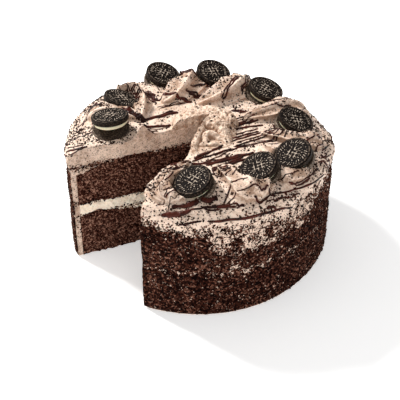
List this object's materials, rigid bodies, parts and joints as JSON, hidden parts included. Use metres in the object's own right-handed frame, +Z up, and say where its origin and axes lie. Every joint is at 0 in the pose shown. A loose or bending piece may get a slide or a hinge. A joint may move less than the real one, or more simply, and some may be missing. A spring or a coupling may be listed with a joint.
{
  "type": "layer cake",
  "caption": "Round cookies and cream layer cake with a slice taken out, piped shells, small sandwich cookies, chocolate drizzle and crumb-coated side.",
  "frame": {"origin": "on the floor under the middle of the cake", "axes": "+Z up, +Y away from the viewer of the picture, +X to that viewer's right"},
  "size_m": [0.2069, 0.2062, 0.1169],
  "materials": {
    "chocolate_sponge": "open matte crumb",
    "cookies_and_cream_icing": "soft satin whipped cream",
    "dark_crumbs": "dry matte crumbs",
    "cocoa_wafer": "baked matte wafer",
    "cookie_filling": "smooth matte cream"
  },
  "bodies": {
    "root": {"sponge_bottom": "chocolate_sponge", "filling": "cookies_and_cream_icing", "sponge_top": "chocolate_sponge", "icing": "cookies_and_cream_icing", "crumb_coat": "dark_crumbs", "shell_1": "cookies_and_cream_icing", "shell_2": "cookies_and_cream_icing", "shell_3": "cookies_and_cream_icing", "shell_4": "cookies_and_cream_icing", "shell_5": "cookies_and_cream_icing", "shell_6": "cookies_and_cream_icing", "shell_7": "cookies_and_cream_icing", "shell_8": "cookies_and_cream_icing", "shell_9": "cookies_and_cream_icing", "dollop": "cookies_and_cream_icing", "cookie_1_base": "cocoa_wafer", "cookie_1_cream": "cookie_filling", "cookie_1_top": "cocoa_wafer", "cookie_2_base": "cocoa_wafer", "cookie_2_cream": "cookie_filling", "cookie_2_top": "cocoa_wafer", "cookie_3_base": "cocoa_wafer", "cookie_3_cream": "cookie_filling", "cookie_3_top": "cocoa_wafer", "cookie_4_base": "cocoa_wafer", "cookie_4_cream": "cookie_filling", "cookie_4_top": "cocoa_wafer", "cookie_5_base": "cocoa_wafer", "cookie_5_cream": "cookie_filling", "cookie_5_top": "cocoa_wafer", "cookie_6_base": "cocoa_wafer", "cookie_6_cream": "cookie_filling", "cookie_6_top": "cocoa_wafer", "cookie_7_base": "cocoa_wafer", "cookie_7_cream": "cookie_filling", "cookie_7_top": "cocoa_wafer", "cookie_8_base": "cocoa_wafer", "cookie_8_cream": "cookie_filling", "cookie_8_top": "cocoa_wafer", "cookie_9_base": "cocoa_wafer", "cookie_9_cream": "cookie_filling", "cookie_9_top": "cocoa_wafer"}
  },
  "joints": []
}
